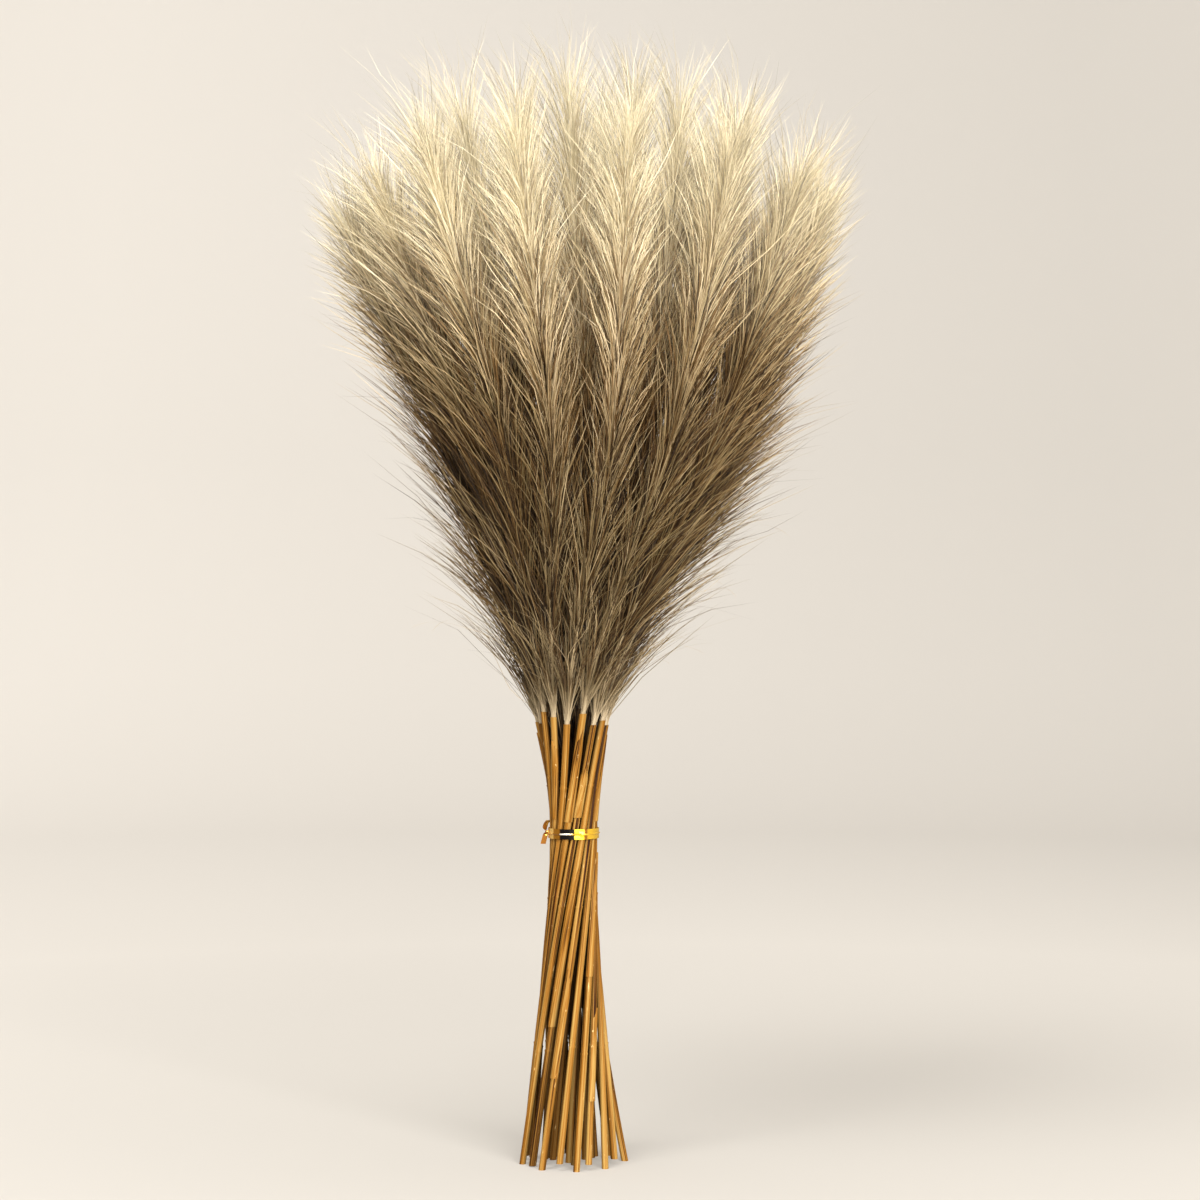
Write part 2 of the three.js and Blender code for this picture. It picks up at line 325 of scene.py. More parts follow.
def model_cane():
    """The pattern cane, upright: ringed for bending, swollen at its joints, hollowed at its ends."""
    start_shape()
    bpy.ops.mesh.primitive_cylinder_add(
        vertices=CANE_SIDES, radius=CANE_RADIUS, depth=CANE_LENGTH, location=(0, 0, CANE_LENGTH / 2)
    )
    cane = bpy.context.object
    bpy.ops.object.transform_apply(location=True)
    bpy.ops.object.mode_set(mode="EDIT")
    cut_rings(np.linspace(0, CANE_LENGTH, CANE_RINGS + 1)[1:-1])
    for joint in CANE_JOINTS:
        cut_rings([joint + ring for ring in JOINT_RINGS])
        for ring, size in zip(JOINT_RINGS[1:], (JOINT_SWELL, JOINT_WAIST)):
            select_vertices(cane, lambda co: abs(co.z - joint - ring) < 0.05)
            bpy.ops.transform.resize(value=(size, size, 1))
    for end, inward in ((0, CUT_HOLLOW), (CANE_LENGTH, -CUT_HOLLOW)):
        bpy.ops.mesh.select_mode(type="FACE")
        bpy.ops.mesh.select_all(action="DESELECT")
        bpy.ops.object.mode_set(mode="OBJECT")
        for face in cane.data.polygons:
            face.select = abs(face.center.z - end) < 0.01
        bpy.ops.object.mode_set(mode="EDIT")
        bpy.ops.mesh.inset(thickness=CUT_RIM, depth=0)
        bpy.ops.mesh.inset(thickness=CUT_WALL, depth=0)
        bpy.ops.transform.translate(value=(0, 0, inward))
    bpy.ops.mesh.select_mode(type="VERT")
    bpy.ops.object.mode_set(mode="OBJECT")
    return take_shape(cane)


def turned_about(places, angle):
    """The level part of each place, turned about the upright axis."""
    x = places[:, 0] * np.cos(angle) - places[:, 1] * np.sin(angle)
    y = places[:, 0] * np.sin(angle) + places[:, 1] * np.cos(angle)
    return np.stack([x, y], axis=-1)


def bend_cane(reed, pattern):
    """A copy of the pattern cane along a reed's own line, a little uneven in its thickness."""
    luck = np.random.default_rng(CANE_SEED + reed.index)
    places, faces, corners, _ = pattern
    along = places[:, 2] / CANE_LENGTH
    shift = luck.uniform(-FIBRE_SHIFT, FIBRE_SHIFT)
    z = reed.foot + along * (reed.top - reed.foot)
    swell = luck.uniform(*CANE_SWELL)
    wave = np.sin(along * CANE_WAVES + luck.uniform(0, TAU))
    thickness = swell * (1 + CANE_WAVE * wave)
    bent = reed.points(z)
    bent[:, :2] += turned_about(places, luck.uniform(0, TAU)) * thickness[:, None]
    return bent, faces, corners + [0, shift]


def model_leaf():
    """The pattern of a dry leaf that still clasps its cane: part of a tube, pointed at the top."""
    start_shape()
    bpy.ops.mesh.primitive_cylinder_add(
        vertices=LEAF_SIDES, radius=1, depth=1, location=(0, 0, 0.5), end_fill_type="NOTHING"
    )
    leaf = bpy.context.object
    bpy.ops.object.transform_apply(location=True)
    bpy.ops.object.mode_set(mode="EDIT")
    cut_rings(LEAF_RINGS)
    select_vertices(leaf, lambda co: co.x < LEAF_OPEN_FROM)
    bpy.ops.mesh.delete(type="VERT")
    for height, narrower in LEAF_POINT:
        select_vertices(leaf, lambda co: abs(co.z - height) < 0.01)
        bpy.ops.transform.resize(value=(1, narrower, 1), center_override=(0, 0, height))
    bpy.ops.object.mode_set(mode="OBJECT")
    thicken(leaf, LEAF_THICKNESS / LEAF_RADIUS, -1)
    return take_shape(leaf)


def bend_leaf(reed, pattern, low, high, turn):
    """A copy of the pattern leaf round a reed, between two heights."""
    places, faces, corners, _ = pattern
    z = low + places[:, 2] * (high - low)
    facing = reed.angle + sheaf_turn(z) + math.radians(turn)
    bent = reed.points(z)
    bent[:, :2] += LEAF_RADIUS * turned_about(places, facing)
    return bent, faces, corners * [1, LEAF_FIBRE] + [0, low]


def feed(tree, socket, value):
    """Sets a socket to a number or a colour, or links the output of another node to it."""
    if isinstance(value, bpy.types.NodeSocket):
        tree.links.new(value, socket)
    else:
        socket.default_value = value


def math_node(tree, operation, *values):
    node = tree.nodes.new("ShaderNodeMath")
    node.operation = operation
    for socket, value in zip(node.inputs, values):
        feed(tree, socket, value)
    return node.outputs[0]


def range_node(tree, value, from_low, from_high, to_low=0, to_high=1):
    node = tree.nodes.new("ShaderNodeMapRange")
    for socket, given in zip(node.inputs, (value, from_low, from_high, to_low, to_high)):
        feed(tree, socket, given)
    return node.outputs[0]


def mix_node(tree, blend_type, factor, first, second):
    node = tree.nodes.new("ShaderNodeMix")
    node.data_type = "RGBA"
    node.blend_type = blend_type
    for name, value in (("Factor", factor), ("A", first), ("B", second)):
        feed(tree, node.inputs[name], value)
    return node.outputs["Result"]


def split_node(tree, vector):
    """The three parts of a vector."""
    node = tree.nodes.new("ShaderNodeSeparateXYZ")
    tree.links.new(vector, node.inputs[0])
    return tuple(node.outputs)


def noise_node(tree, place, scale, detail):
    node = tree.nodes.new("ShaderNodeTexNoise")
    for name, value in (("Vector", place), ("Scale", scale), ("Detail", detail)):
        feed(tree, node.inputs[name], value)
    return node.outputs["Fac"]


def ramp_node(tree, stops, value):
    """A colour ramp with its stops given as place and screen colour."""
    node = tree.nodes.new("ShaderNodeValToRGB")
    elements = node.color_ramp.elements
    for element, (place, colour) in zip(elements, (stops[0], stops[-1])):
        element.position = place
        element.color = srgb(*colour)
    for place, colour in stops[1:-1]:
        elements.new(place).color = srgb(*colour)
    tree.links.new(value, node.inputs[0])
    return node.outputs[0]


def map_node(tree, name):
    """The piece's own map."""
    node = tree.nodes.new("ShaderNodeUVMap")
    node.uv_map = name
    return node.outputs[0]


def place_node(tree):
    """The place in the piece, in metres."""
    return tree.nodes.new("ShaderNodeTexCoord").outputs["Object"]


def add_bump(tree, shader, height, strength):
    node = tree.nodes.new("ShaderNodeBump")
    for name, value in (("Strength", strength), ("Distance", BUMP_DISTANCE), ("Height", height)):
        feed(tree, node.inputs[name], value)
    tree.links.new(node.outputs[0], shader.inputs["Normal"])


def plain_material(name, **constants):
    """A material, its node tree, and its shader with some of its sockets set."""
    material = bpy.data.materials.new(name)
    material.use_nodes = True
    tree = material.node_tree
    shader = tree.nodes["Principled BSDF"]
    for socket, value in constants.items():
        shader.inputs[SOCKETS[socket]].default_value = value
    return material, tree, shader


def fibre_group():
    """Long fibre along a cane, from a map that runs round it and along it."""
    group = bpy.data.node_groups.new("cane_fibre", "ShaderNodeTree")
    group.interface.new_socket("Map", in_out="INPUT", socket_type="NodeSocketVector")
    group.interface.new_socket("Round", in_out="INPUT", socket_type="NodeSocketFloat")
    group.interface.new_socket("Along", in_out="INPUT", socket_type="NodeSocketFloat")
    group.interface.new_socket("Fibre", in_out="OUTPUT", socket_type="NodeSocketFloat")
    given = group.nodes.new("NodeGroupInput")
    result = group.nodes.new("NodeGroupOutput")
    round_share, along, _ = split_node(group, given.outputs["Map"])
    angle = math_node(group, "MULTIPLY", round_share, TAU)
    join = group.nodes.new("ShaderNodeCombineXYZ")
    for operation, axis in (("COSINE", "X"), ("SINE", "Y")):
        wave = math_node(group, operation, angle)
        reach = math_node(group, "MULTIPLY", wave, given.outputs["Round"])
        group.links.new(reach, join.inputs[axis])
    stretched = math_node(group, "MULTIPLY", along, given.outputs["Along"])
    group.links.new(stretched, join.inputs["Z"])
    fibre = noise_node(group, join.outputs[0], 1, FIBRE_DETAIL)
    group.links.new(fibre, result.inputs["Fibre"])
    return group


def cane_skin():
    """Golden cane: streaked along the fibre, with small pale scuffs, and darkened by painted shade deep
    in the sheaf.
    """
    material, tree, shader = plain_material("cane_skin", roughness=0.6, specular=0.1)
    fibre_map = map_node(tree, "fibre_map")
    fibre = fibre_group()
    layers = []
    for fineness in (STREAKS, PATCHES, SCUFFS):
        layer = tree.nodes.new("ShaderNodeGroup")
        layer.node_tree = fibre
        for name, value in zip(("Map", "Round", "Along"), (fibre_map, *fineness)):
            feed(tree, layer.inputs[name], value)
        layers.append(layer.outputs[0])
    streaks, patches, scuffs = layers
    grain = math_node(tree, "MULTIPLY", math_node(tree, "ADD", streaks, patches), 0.5)
    colour = ramp_node(tree, CANE_SKIN_STOPS, grain)
    scuffed = range_node(tree, scuffs, *SCUFFED_FROM)
    colour = mix_node(tree, "MIX", scuffed, colour, srgb(*CANE_SCUFF))
    # Painted shade: the cane's colour is darkened where it lies deep in the sheaf, where shade falls
    # between the canes.
    painted_shade = tree.nodes.new("ShaderNodeAttribute")
    painted_shade.attribute_name = "painted_shade"
    painted_inner_shade = range_node(tree, painted_shade.outputs["Fac"], 0, 1, 1, CANE_DEEPEST_SHADE)
    colour = mix_node(tree, "MULTIPLY", 1, colour, painted_inner_shade)
    tree.links.new(colour, shader.inputs["Base Color"])
    add_bump(tree, shader, streaks, 0.2)
    return material


def cane_cut():
    """The cut end: paler, dry pith with specks."""
    material, tree, shader = plain_material("cane_cut", roughness=0.85)
    specks = noise_node(tree, place_node(tree), CANE_CUT_SPECKS, 2)
    tree.links.new(ramp_node(tree, CANE_CUT_STOPS, specks), shader.inputs["Base Color"])
    return material


def make_canes():
    pattern = model_cane()
    leaf_pattern = model_leaf()
    materials = [cane_skin(), cane_cut()]
    cut_faces = [abs(normal[2]) > 0.9 for normal in pattern[3]]
    for reed in reeds:
        places, faces, corners = bend_cane(reed, pattern)
        is_cut = list(cut_faces)
        for _, low, high, turn in [leaf for leaf in LEAVES if leaf[0] == reed.index]:
            leaf_places, leaf_faces, leaf_corners = bend_leaf(reed, leaf_pattern, low, high, turn)
            faces = faces + [tuple(len(places) + v for v in face) for face in leaf_faces]
            places = np.concatenate([places, leaf_places])
            corners = np.concatenate([corners, leaf_corners])
            is_cut += [False] * len(leaf_faces)
        cane = new_piece(f"cane_{reed.index:02d}", places, faces, "fibre_map", corners, materials)
        # Painted shade: how deep each point lies in the sheaf, eased near the foot where the canes
        # spread apart.
        depth = sheaf_radius(places[:, 2]) + CANE_RADIUS
        depth -= np.hypot(places[:, 0] - sheaf_lean(places[:, 2]), places[:, 1])
        painted_shade = cane.data.attributes.new("painted_shade", "FLOAT", "POINT")
        opened = CANE_OPEN_SHARE * (1 - smoothstep(places[:, 2], *CANE_OPEN_BELOW))
        painted_shade.data.foreach_set("value", smoothstep(depth, *CANE_SHADE_DEPTHS) * (1 - opened))
        cane.data.polygons.foreach_set("material_index", np.array(is_cut, dtype=np.int32))
        cane.data.polygons.foreach_set("use_smooth", ~np.array(is_cut))
        cane.data.set_sharp_from_angle(angle=math.radians(CANE_SHARP))
        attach(cane, "root")
        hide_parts(f"stem_{reed.index:02d}")


make_canes()

# ---- Twist tie ----
# A flat strip of gold foil over a soft wire, wound once round the canes at their waist.
# Its ends are twisted together at the left: one stands up in a small loop and one hangs down.

TIE_RADIUS = 11.0
TIE_WIDTH = 4.5
TIE_LIFT = 0.7
TIE_SIDES = 60
FOIL_THICKNESS = 0.3
WIRE_LIFT = 0.5
BAND_RINGS = (-1.5, -0.45, 0, 0.45, 1.5)
CREASE_AT = 28
CREASE_LIFT = 0.45
CREASE_FROM = 0.997
FOIL_UNEVEN = 0.06
FOIL_SHARP = 40
FOIL_CRINKLE = 900
FOIL_BACK = (150, 96, 28)
WIRE_EDGE = (0.00042, 0.00022)
PARKED = 20
TAIL_WIDTH = 2.3
TAIL_ROWS = 14
# Reach from the middle, sideways and up, then the turn at the start and the end
UPPER_TAIL = (
    ((11.1, 0.0, -0.6), (11.9, 0.2, 0.6), (12.7, 0.3, 2.2), (12.3, 0.2, 3.8), (11.1, 0.1, 5.4)),
    (20, 150),
)
LOWER_TAIL = (
    ((11.3, 0.2, 0.9), (11.8, -0.1, 0.2), (12.6, -0.3, -1.2), (13.1, -0.4, -3.0), (13.6, -0.5, -5.0)),
    (-110, 10),
)
# The foil's gold round the band, with painted reflections: a black stretch left of the front, bright
# yellow beside it, and browner bands where the foil turns and in the crease.
FOIL_GOLD_AND_REFLECTIONS = (
    (0.00, (205, 152, 48)),
    (0.25, (224, 174, 78)),
    (0.348, (238, 194, 108)),
    (0.362, (158, 104, 16)),
    (0.408, (140, 90, 12)),
    (0.414, (12, 8, 4)),
    (0.504, (12, 8, 4)),
    (0.511, (255, 232, 62)),
    (0.562, (255, 222, 52)),
    (0.570, (150, 96, 22)),
    (0.586, (170, 112, 34)),
    (0.594, (236, 190, 54)),
    (0.75, (226, 182, 60)),
    (1.00, (205, 152, 48)),
)
# A painted white highlight along the wire, and the stretch of the front where it shows.
FOIL_RIDGE_HIGHLIGHT = (
    (0.408, (190, 140, 50)),
    (0.416, (255, 252, 240)),
    (0.46, (255, 248, 225)),
    (0.50, (245, 205, 80)),
    (0.60, (250, 205, 60)),
)
RIDGE_HIGHLIGHT_SPAN = (
    (0.410, (0, 0, 0)),
    (0.414, (255, 255, 255)),
    (0.590, (255, 255, 255)),
    (0.600, (0, 0, 0)),
)


def shape_band():
    """The band: an open cylinder, its wire raised along the middle, with a crease right of the front."""
    start_shape()
    bpy.ops.mesh.primitive_cylinder_add(
        vertices=TIE_SIDES, radius=TIE_RADIUS, depth=TIE_WIDTH, end_fill_type="NOTHING"
    )
    band = bpy.context.object
    bpy.ops.object.mode_set(mode="EDIT")
    cut_rings(BAND_RINGS)
    select_vertices(band, lambda co: abs(co.z) < 0.05)
    fuller = 1 + WIRE_LIFT / TIE_RADIUS
    bpy.ops.transform.resize(value=(fuller, fuller, 1))
    crease = math.radians(CREASE_AT)
    toward = Vector((math.sin(crease), -math.cos(crease)))
    edge = TIE_RADIUS * CREASE_FROM
    select_vertices(band, lambda co: co.xy.dot(toward) > edge and abs(co.z) > 0.4)
    bpy.ops.transform.translate(value=(CREASE_LIFT * toward[0], CREASE_LIFT * toward[1], 0))
    bpy.ops.mesh.select_all(action="SELECT")
    bpy.ops.transform.vertex_random(offset=FOIL_UNEVEN, seed=4)
    bpy.ops.object.mode_set(mode="OBJECT")
    return band


def shape_tail(route, turns):
    """One end of the strip: a ribbon led along its route, turning as it goes.

    Each row is parked above the grid once it is placed, so that the next row is found alone.
    """
    start_shape()
    bpy.ops.mesh.primitive_grid_add(x_subdivisions=2, y_subdivisions=TAIL_ROWS, size=1)
    tail = bpy.context.object
    bpy.ops.object.mode_set(mode="EDIT")
    route = np.array(route)
    steps = np.linspace(0, 1, len(route))
    for row in range(TAIL_ROWS + 1):
        share = row / TAIL_ROWS
        reach, aside, up = (np.interp(share, steps, route[:, k]) for k in range(3))
        turn = math.radians(turns[0] + (turns[1] - turns[0]) * smoothstep(share, 0, 0.6))
        select_vertices(tail, lambda co: abs(co.y - share + 0.5) < 0.01 and abs(co.z) < 0.01)
        bpy.ops.transform.resize(value=(TAIL_WIDTH, 1, 1), center_override=(0, share - 0.5, 0))
        bpy.ops.transform.rotate(value=turn, orient_axis="Z", center_override=(0, share - 0.5, 0))
        bpy.ops.transform.translate(value=(-reach, aside - share + 0.5, up + PARKED))
    bpy.ops.mesh.select_all(action="SELECT")
    bpy.ops.transform.translate(value=(0, 0, -PARKED))
    bpy.ops.object.mode_set(mode="OBJECT")
    return tail


def gold_foil():
    """Gold foil with painted reflections: its tone changes round the band, with a painted dark
    reflection left of the front, painted bright yellow beside it, and a painted white highlight along
    the wire.
    """
    material, tree, shader = plain_material("gold_foil", metallic=0.65, roughness=0.27)
    place = place_node(tree)
    local = tree.nodes.new("ShaderNodeVectorMath")
    local.operation = "SUBTRACT"
    feed(tree, local.inputs[0], place)
    feed(tree, local.inputs[1], tie_middle)
    x, y, z = split_node(tree, local.outputs[0])
    angle = math_node(tree, "ARCTAN2", x, math_node(tree, "MULTIPLY", y, -1))
    share = range_node(tree, angle, -math.pi, math.pi)
    # Painted reflections and a painted highlight along the wire, by the angle round the band.
    flat = ramp_node(tree, FOIL_GOLD_AND_REFLECTIONS, share)
    ridge_highlight = ramp_node(tree, FOIL_RIDGE_HIGHLIGHT, share)
    front = ramp_node(tree, RIDGE_HIGHLIGHT_SPAN, share)
    along_wire = range_node(tree, math_node(tree, "ABSOLUTE", z), *WIRE_EDGE)
    raised = math_node(tree, "MULTIPLY", along_wire, front)
    tree.links.new(mix_node(tree, "MIX", raised, flat, ridge_highlight), shader.inputs["Base Color"])
    add_bump(tree, shader, noise_node(tree, place, FOIL_CRINKLE, 2), 0.25)
    return material


def foil_back():
    """The browner side of the foil, which the twisted ends turn outwards."""
    material, _, shader = plain_material("foil_back", metallic=0.6, roughness=0.35)
    shader.inputs["Base Color"].default_value = srgb(*FOIL_BACK)
    return material


def make_tie():
    band = shape_band()
    tails = [shape_tail(*UPPER_TAIL), shape_tail(*LOWER_TAIL)]
    start_shape()
    for part in (*tails, band):
        part.select_set(True)
    bpy.context.view_layer.objects.active = band
    bpy.ops.object.join()
    thicken(band, FOIL_THICKNESS, 1)
    places, faces, corners, _ = take_shape(band)
    middles = [places[list(face), :2].mean(axis=0) for face in faces]
    hanging = [bool(np.hypot(*middle) > TIE_RADIUS + 1) for middle in middles]
    places[:, 2] += TIE_HEIGHT + TIE_LIFT
    tie = new_piece("foil_tie", places, faces, "strip_map", corners, [gold_foil(), foil_back()])
    tie.data.polygons.foreach_set("material_index", np.array(hanging, dtype=np.int32))
    tie.data.polygons.foreach_set("use_smooth", np.ones(len(faces), dtype=bool))
    tie.data.set_sharp_from_angle(angle=math.radians(FOIL_SHARP))
    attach(tie, "root")
    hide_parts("tie")


tie_middle = (GROUND_CENTRE + [0, 0, TIE_HEIGHT + TIE_LIFT]) * MM
make_tie()

# ---- Plumes ----
# The flower head of each reed: a thin stalk with long coarse hair that stands off it on all sides.
# The hair is pale where it leaves the cane, olive brown in the lower half and cream at the top.

# How many tufts and hairs, and the stalk they stand on
OUTER_RING = 2
GOLDEN_TURN = TAU * 0.381966
TUFTS = (150, 225, 310)  # on a plume of each ring, from the middle out
TUFT_HAIRS = 6
STALK_RADIUS = 1.15
STALK_TIP_RADIUS = 0.35
STALK_SIDES = 7
STALK_RINGS = 15
STALK_SUNK = 1
STALK_OVER = 5
STALK_TINT = 0.8

# The size of a hair, finer low down and at the tip of the plume, and cut back to stay in the box
HAIR_SEED = 500
HAIR_RINGS = 2
HAIR_TAPER = 0.35
HAIR_WIDTH = 0.28
HAIR_WIDTHS = (0.7, 1.2)
HAIR_LENGTHS = (0.55, 1.08)
TUFT_LENGTHS = (0.8, 1.1)
SHORTEN = 0.85
SHORTEN_ROUNDS = 6
FINER_BELOW = 0.2
FINER_HEIGHTS = (290, 380)
FINER_AT_TOP = 0.5
FINER_ALONG = (0.7, 1)
HAIR_REACH = 72
HAIR_REACH_TOP = 44
BOX_MARGIN = 3

# How far hairs open, in degrees: on the free side, beside a neighbour, towards the middle, in the
# upper head on its free side and beside a neighbour, and at the tip
ROOT_ANGLES = {"out": 15, "side": 4, "in": 5, "high": 17, "high_side": 15, "top": 15}
TIP_ANGLES = {"out": 37, "side": 9, "in": 12, "high": 41, "high_side": 36, "top": 34}
FREE_SIDE_POWER = 1.5
INNER_FACING = -0.5
HIGH_HEIGHTS = (270, 425)
TOP_ALONG = (0.8, 1)
LOW_OPEN = (9, 14)
LOW_OPEN_INNER = 0.6
LOW_HEIGHTS = (205, 270)
HEAD_DRIFT = 0.22
LIFTED_SPREAD = (0.6, 0.65, 0.7)
SHEATH_TUFTS = 16
SHEATH_LENGTH = 8
SHEATH_LEAST = 0.3
CORE_START = 14
TUFT_TURN_SPREAD = 0.25
ROOT_ANGLE_SPREAD = 2.5
TIP_ANGLE_SPREAD = 6
# Spine hairs lie close along the stalk; their lifted tint is a painted highlight along the stalk.
SPINE_SHARE = 0.16
SPINE_ANGLE = 0.25
SPINE_REACH = 0.55
SPINE_PAINTED_LIGHT = 0.75

# How far single hairs part from their tuft
LOOSE_SHARE = 0.12
LOOSE_LIFT = 3
LOOSE_SWAY = 2.4
LOOSE_WIDTH = 0.6
FLYAWAY = 0.07
FLYAWAY_LIFT = 12
FLYAWAY_REACH = 1.25
SWING = 0.7
SLIDE = 9
SLIDE_UP = 3
CLUMP = 0.3
LIFT = 5.5
SWAY = 0.95
SWAY_REACH = 1.5
HAIR_SHADES = (0.5, 0.45)
TUFT_SHADES = (0.5, 0.5)
TUFT_SHADE_SHARE = 0.32
SHADE_POWER = 1.5
SHADE_POWER_DROP = 0.5
SHADE_POWER_ALONG = (0.3, 0.6)

# How the tone climbs the head, where painted shade darkens the hair and painted light brightens it, and
# where it is pale
TONE_CLIMB = 0.3
TONE_LIFT = 16
# Painted shade deep within the head low down, and on the sides of the head, eased where hair stands free
# at the edge.
INNER_DEPTH = 26
INNER_SHARE = 0.45
OPEN_DEPTH = 1
INNER_SHADE = 0.16
SIDE_SHADE_LEFT = 0.57
SIDE_SHADE_RIGHT = 0.38
SIDE_TONES_LEFT = (0.3, 0.72)
SIDE_TONES_RIGHT = (0.5, 1.15)
SIDE_SHARES = (0.1, 0.85)
SHUT_TONES = (0.3, 0.6)
SHEATH_TONES = (0.01, 0.1)
PALE_END = (3, 14)
PALE_TINT = 0.85
FREE_FROM = (1.05, 1.4)
FREE_EDGE = 0.85
FREE_TINT = 0.5
FREE_TINT_SHARE = 0.5
# Painted shade near the roots low in the head, and painted light near them high up.
ROOT_END = 0.6
ROOT_PAINTED_SHADE = 0.48
ROOT_SHADE_TONES = (0.3, 0.55)
ROOT_PAINTED_LIGHT = 0.55
ROOT_LIGHT_TONES = (0.5, 0.75)

# Curled strays low on the outer plumes
STRAYS = 6
STRAY_START = 4
STRAY_TOP = 300
STRAY_LENGTH = (34, 62)
STRAY_RINGS = 12
STRAY_TURN_SPREAD = 0.5
STRAY_HEADING = (14, 40)
STRAY_BEND = (-20, 95)
STRAY_BEND_POWER = 1.3
STRAY_WAVES = ((0.35, 7), (0.25, 15))
STRAY_WIDTH = 0.13
STRAY_TINT = 0.7
STRAY_TONE = 0.45

# The map that carries each hair's tint, with its painted shade and light, and its tone to its colours
TINT_START = 0.02
TINT_SPAN = 0.94
MAP_ROUND = 0.02
MAP_EDGE = 0.002
HAIR_TONES = (
    (0.00, (172, 160, 138)),
    (0.04, (160, 147, 122)),
    (0.09, (166, 151, 122)),
    (0.30, (182, 165, 130)),
    (0.42, (198, 179, 145)),
    (0.52, (226, 209, 175)),
    (0.62, (246, 235, 205)),
    (0.72, (252, 245, 218)),
    (0.85, (228, 221, 195)),
    (1.00, (200, 193, 171)),
)
HAIR_TINTS = (
    (0.0, (26, 16, 8)),
    (0.2, (78, 60, 36)),
    (0.35, (142, 117, 83)),
    (0.5, (190, 180, 156)),
    (0.65, (218, 208, 192)),
    (0.8, (250, 242, 230)),
    (1.0, (255, 255, 255)),
)
TINT_FULL_BELOW = 0.5
TINT_FAINT_ABOVE = 1
TINT_FAINT = 0.5


def model_hair(rings):
    """The pattern hair, upright and one unit long: a three-sided needle with rings to bend it at."""
    start_shape()
    bpy.ops.mesh.primitive_cone_add(vertices=3, radius1=1, radius2=0, depth=1, location=(0, 0, 0.5))
    hair = bpy.context.object
    bpy.ops.object.transform_apply(location=True)
    bpy.ops.object.mode_set(mode="EDIT")
    heights = [(k + 1) / (rings + 1) for k in range(rings)]
    cut_rings(heights)
    for height in heights:
        select_vertices(hair, lambda co: abs(co.z - height) < 0.01)
        fuller = (1 - HAIR_TAPER * height) / (1 - height)
        bpy.ops.transform.resize(value=(fuller, fuller, 1))
    bpy.ops.object.mode_set(mode="OBJECT")
    return take_shape(hair)


def arc(start_angle, end_angle, t):
    """How far a hair of unit length runs forward and out at t, if it bends evenly on the way."""
    bend = end_angle - start_angle
    bend = np.where(np.abs(bend) < 0.01, 0.01, bend)
    turned = start_angle + bend * t
    forward = (np.sin(turned) - np.sin(start_angle)) / bend
    outward = (np.cos(start_angle) - np.cos(turned)) / bend
    return forward, outward


def run_hair(hairs, t):
    """The place of each hair at t."""
    forward, outward = arc(hairs["root_angle"], hairs["tip_angle"], t)
    reach = hairs["reach"]
    return (
        hairs["root"]
        + hairs["forward"] * (reach * forward)[:, None]
        + hairs["outward"] * (reach * outward)[:, None]
    )


def spread_angle(angles, facing, high, top):
    """How far the hair opens: wide on the free outer side, close beside its neighbours low down."""
    free = np.maximum(facing, 0)
    low_angle = np.where(
        facing > 0,
        angles["side"] + (angles["out"] - angles["side"]) * free**FREE_SIDE_POWER,
        angles["side"] + (angles["in"] - angles["side"]) * -facing,
    )
    high_angle = angles["high_side"] + (angles["high"] - angles["high_side"]) * free
    angle = low_angle + (np.maximum(high_angle, low_angle) - low_angle) * high
    return angle + (angles["top"] - angle) * top


def lay_tufts(reed, luck):
    """Where the tufts of a plume stand on its stalk, and which way and how far each one opens."""
    count = TUFTS[reed.ring]
    outer = reed.ring == OUTER_RING
    along = np.linspace(0, 1, count) ** LIFTED_SPREAD[reed.ring]
    along[:SHEATH_TUFTS] = np.linspace(0, SHEATH_LENGTH, SHEATH_TUFTS) / (reed.end - reed.top)
    along = np.clip(along + luck.uniform(-0.5, 0.5, count) / count, 0, 1)
    start = reed.top - (0 if outer else CORE_START)
    z = start + along * (reed.end - start)
    angle = GOLDEN_TURN * np.arange(count) + luck.normal(0, TUFT_TURN_SPREAD, count)
    forward = reed.directions(z)
    outward = np.stack([np.cos(angle), np.sin(angle), np.zeros(count)], axis=-1)
    outward -= forward * np.sum(outward * forward, axis=1, keepdims=True)
    outward /= np.linalg.norm(outward, axis=1, keepdims=True)
    facing = np.cos(angle - reed.angle - sheaf_turn(z)) if outer else np.full(count, INNER_FACING)
    high = smoothstep(z, *HIGH_HEIGHTS)
    top = smoothstep(along, *TOP_ALONG)
    low = (1 - smoothstep(z, *LOW_HEIGHTS)) * (np.maximum(facing, 0) if outer else LOW_OPEN_INNER)
    sheath = np.clip((z - start) / SHEATH_LENGTH, SHEATH_LEAST, 1)
    drift = 1 - HEAD_DRIFT * outward[:, 0] * high
    root_angle = spread_angle(ROOT_ANGLES, facing, high, top) * drift + LOW_OPEN[0] * low
    tip_angle = spread_angle(TIP_ANGLES, facing, high, top) * drift + LOW_OPEN[1] * low
    reach = (HAIR_REACH + (HAIR_REACH_TOP - HAIR_REACH) * along**2) * (0.5 + 0.5 * drift)
    root_spread = luck.normal(0, ROOT_ANGLE_SPREAD, count)
    tufts = {
        "along": along,
        "forward": forward,
        "outward": outward,
        "sideways": np.cross(forward, outward),
        "root": reed.points(z),
        "root_angle": np.radians(root_angle * sheath + root_spread * sheath),
        "tip_angle": np.radians(tip_angle + luck.normal(0, TIP_ANGLE_SPREAD, count)),
        "reach": reach * luck.uniform(*TUFT_LENGTHS, count),
        "sheath": sheath,
        "shade": luck.beta(*TUFT_SHADES, count),
    }
    spine = luck.uniform(0, 1, count) < SPINE_SHARE
    tufts["root_angle"][spine] *= SPINE_ANGLE
    tufts["tip_angle"][spine] *= SPINE_ANGLE
    tufts["reach"][spine] *= SPINE_REACH
    tufts["spine"] = spine
    return tufts


def head_tone(height):
    """The share of the way up the head, which the hair's tone follows."""
    return (height - STEM_TOP + STEM_TOP_SPREAD) / (TOTAL_HEIGHT - STEM_TOP)


